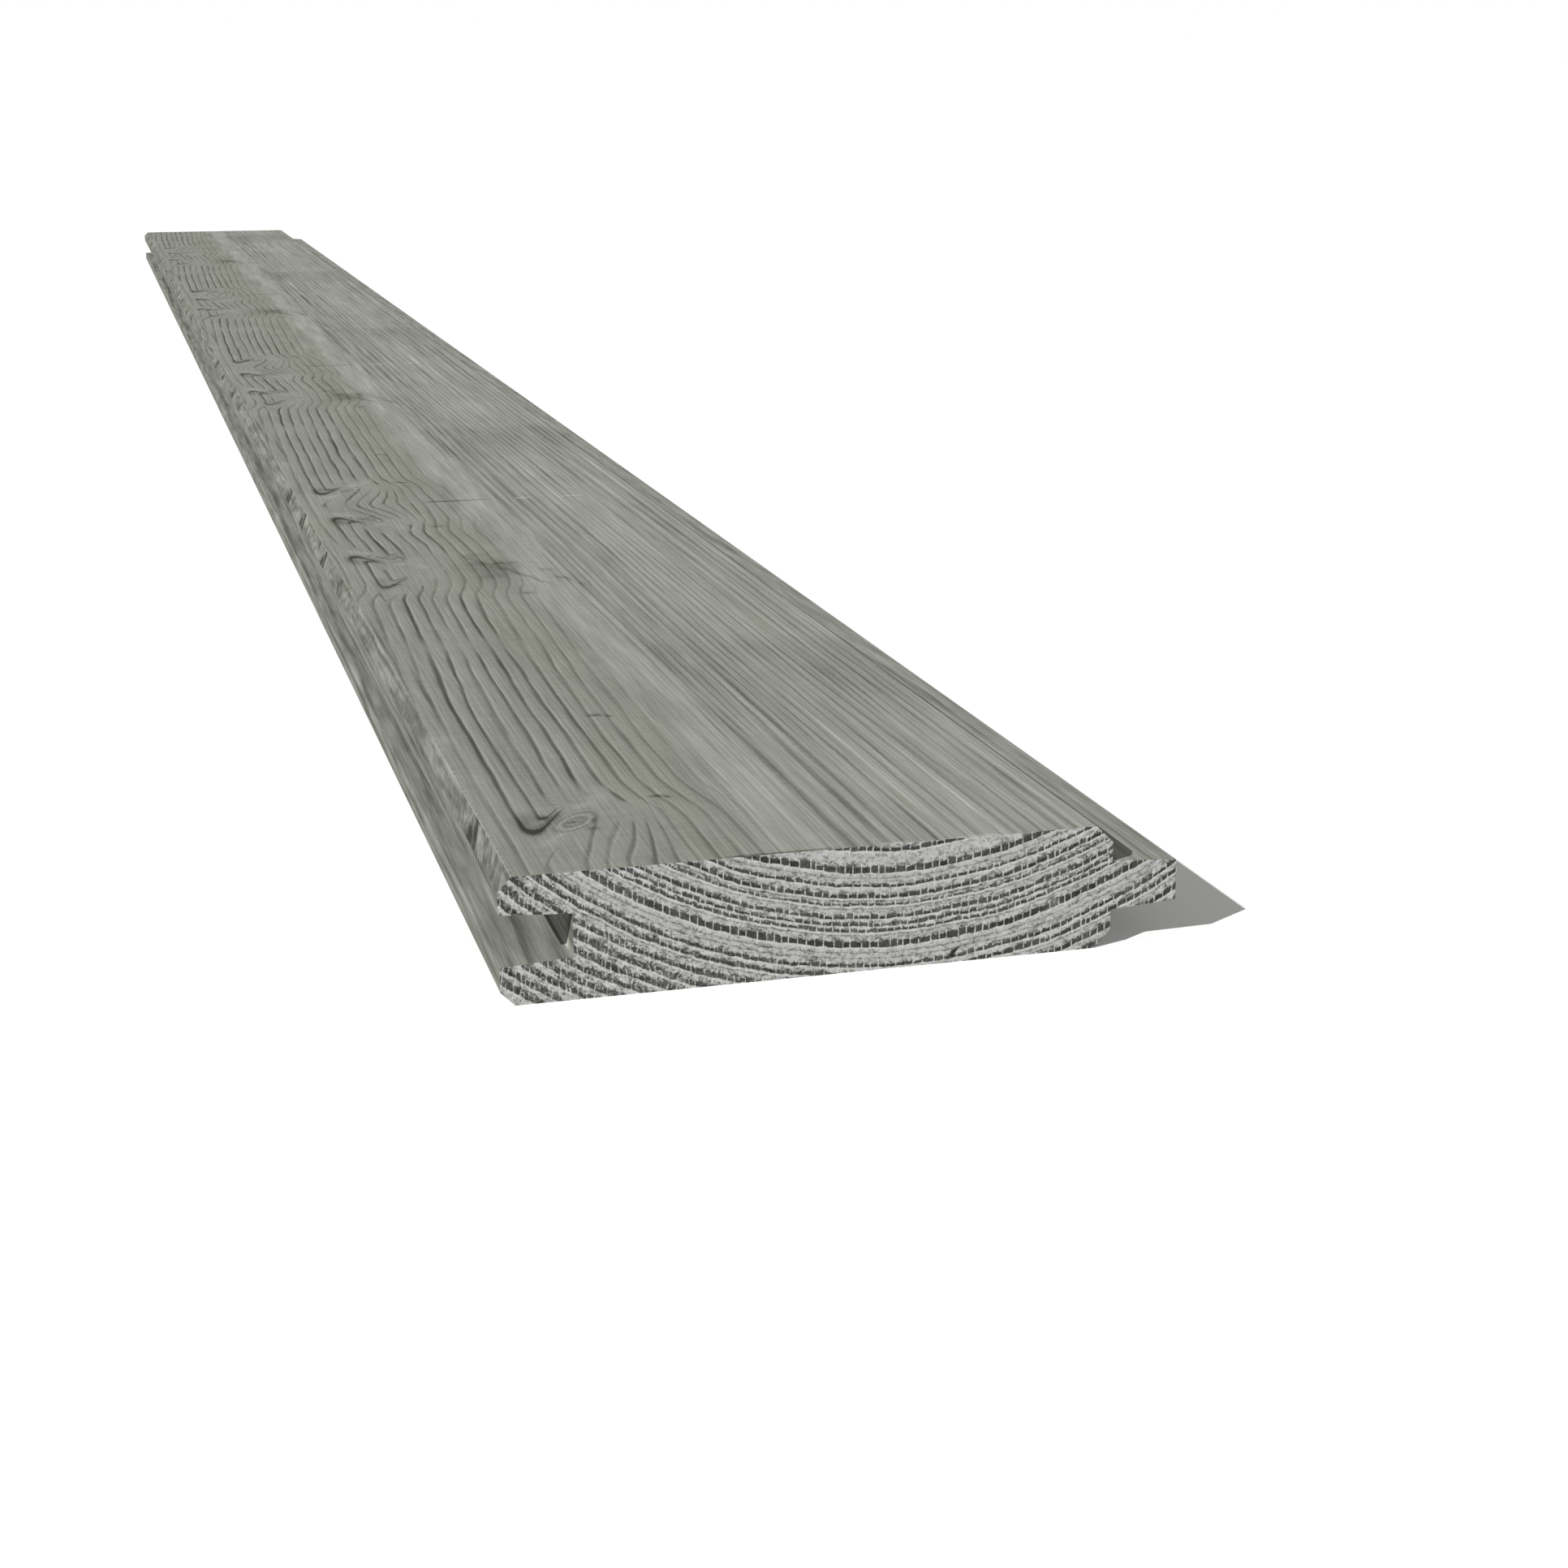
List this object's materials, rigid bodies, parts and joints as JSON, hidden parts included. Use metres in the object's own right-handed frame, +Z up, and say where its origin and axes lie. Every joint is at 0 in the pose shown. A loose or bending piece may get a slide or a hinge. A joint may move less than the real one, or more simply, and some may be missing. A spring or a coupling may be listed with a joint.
{
  "type": "tongue and groove board",
  "caption": "Planed softwood board with chamfered edges, a tapered tongue along one long edge and a matching groove along the other, laid side by side as cladding, flooring or lining.",
  "frame": {"origin": "on the underside, under the middle of the board's outer box, tongue included", "axes": "+X across the board towards the tongue, +Y along the grain, +Z up from the underside to the face"},
  "size_m": [0.145, 2, 0.027],
  "materials": {
    "grey_softwood": "planed softwood, greyed by a stain or by weather, matt, with dark and light growth rings on its sawn ends"
  },
  "bodies": {
    "root": {"board": "grey_softwood"}
  },
  "joints": []
}
